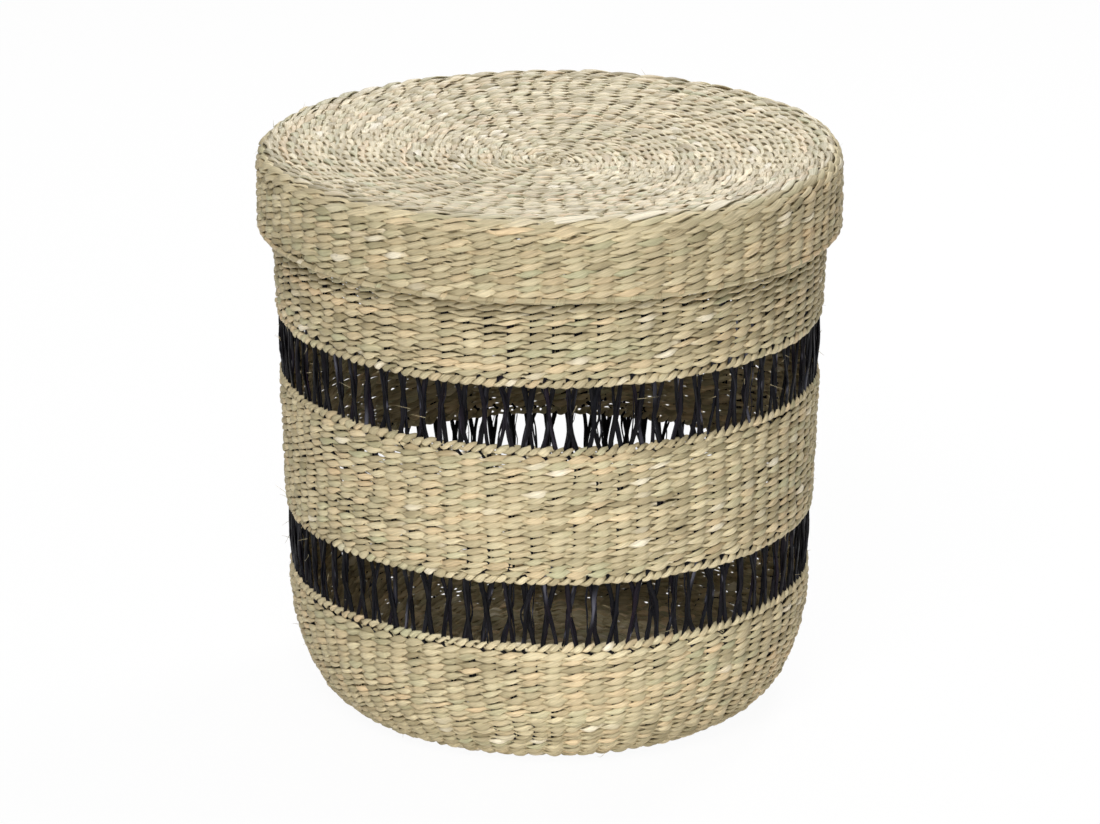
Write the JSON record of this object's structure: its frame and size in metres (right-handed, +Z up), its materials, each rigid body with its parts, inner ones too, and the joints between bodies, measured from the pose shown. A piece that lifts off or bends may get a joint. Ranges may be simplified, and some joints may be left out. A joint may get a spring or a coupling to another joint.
{
  "type": "woven lidded basket",
  "caption": "Round twined seagrass basket with rounded bottom, crossed-strand openwork bands and a lift-off dished lid with a deep skirt.",
  "frame": {"origin": "On the floor, under the middle of the round base.", "axes": "+Z up along the basket's axis; the basket is round about Z."},
  "size_m": [0.351, 0.351, 0.3455],
  "materials": {
    "seagrass_natural": "matt twined seagrass strand, straw to greenish beige",
    "seagrass_pale": "matt twined seagrass strand, pale straw",
    "seagrass_dyed": "blue-black dyed seagrass strand with a low gloss"
  },
  "bodies": {
    "basket": {"base_weave": "seagrass_natural", "lower_wall_weave": "seagrass_natural", "lower_openwork": "seagrass_dyed", "middle_wall_weave": "seagrass_natural", "upper_openwork": "seagrass_dyed", "upper_wall_weave": "seagrass_natural", "rim_border": "seagrass_natural"},
    "lid": {"lid_top_weave": "seagrass_pale", "lid_start_button": "seagrass_pale", "lid_skirt_weave": "seagrass_natural", "lid_border": "seagrass_natural"}
  },
  "joints": [
    {"name": "lid_lift", "type": "slide", "parent": "basket", "child": "lid", "axis": [0, 0, 1], "range_m": [0, 0.15]}
  ]
}
